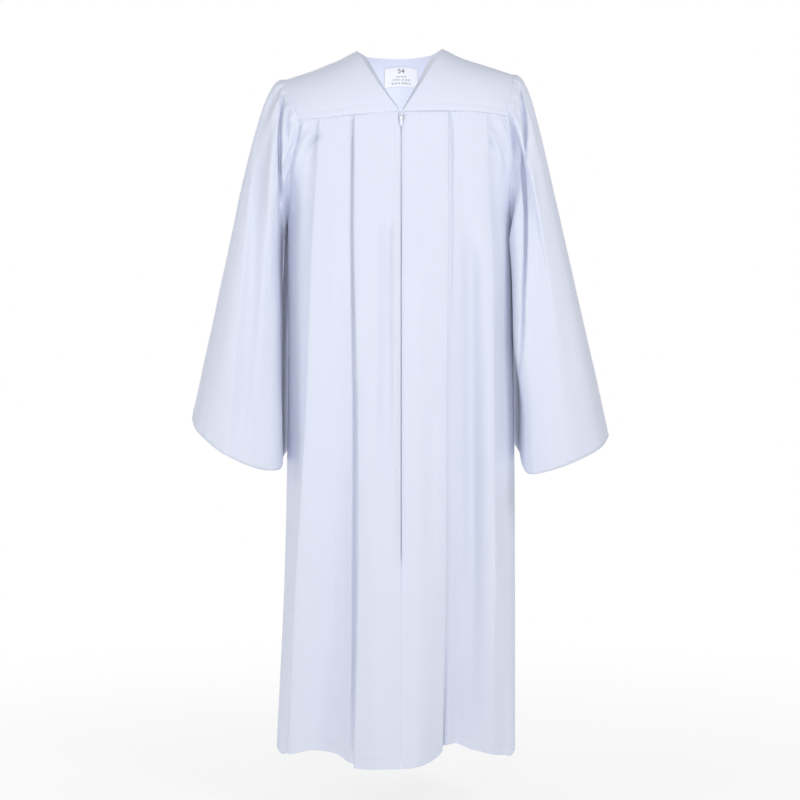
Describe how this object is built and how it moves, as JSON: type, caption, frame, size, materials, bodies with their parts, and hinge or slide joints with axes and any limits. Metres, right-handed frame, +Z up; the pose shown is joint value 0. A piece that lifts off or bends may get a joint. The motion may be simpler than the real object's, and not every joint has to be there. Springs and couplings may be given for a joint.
{
  "type": "choir robe",
  "caption": "Long hollow choir robe in rigid white cloth with a V neck, yoked shoulders, pleated front, front zip and wide open bell sleeves, as worn with nobody in it.",
  "frame": {"origin": "middle of the shoulder line, on the plane between the front and the back, where a wearer's shoulders or a hanger holds the robe", "axes": "+Z up, the front faces -Y, +X is the wearer's left"},
  "size_m": [0.7512, 0.305, 1.2645],
  "materials": {
    "white cloth": "matte crepe weave",
    "zip tape": "woven tape",
    "zip coil": "nylon coil",
    "white lacquered metal": "smooth lacquer",
    "label cloth": "smooth satin"
  },
  "bodies": {
    "robe": {"front_right": "white cloth", "front_left": "white cloth", "back_panel": "white cloth", "yoke_front_right": "white cloth", "yoke_front_left": "white cloth", "yoke_back": "white cloth", "sleeve_right": "white cloth", "sleeve_left": "white cloth", "zip_tape_right": "zip tape", "zip_tape_left": "zip tape", "zip_chain": "zip coil", "zip_slider": "white lacquered metal", "zip_bottom_stop": "white lacquered metal", "neck_label": "label cloth"},
    "pull_tab": {"zip_pull_tab": "white lacquered metal"}
  },
  "joints": [
    {"name": "pull_tab_hinge", "type": "hinge", "parent": "robe", "child": "pull_tab", "pos_m": [0.002, -0.11726, -0.10775], "axis": [-1, 0, 0], "range_deg": [0, 150]}
  ]
}
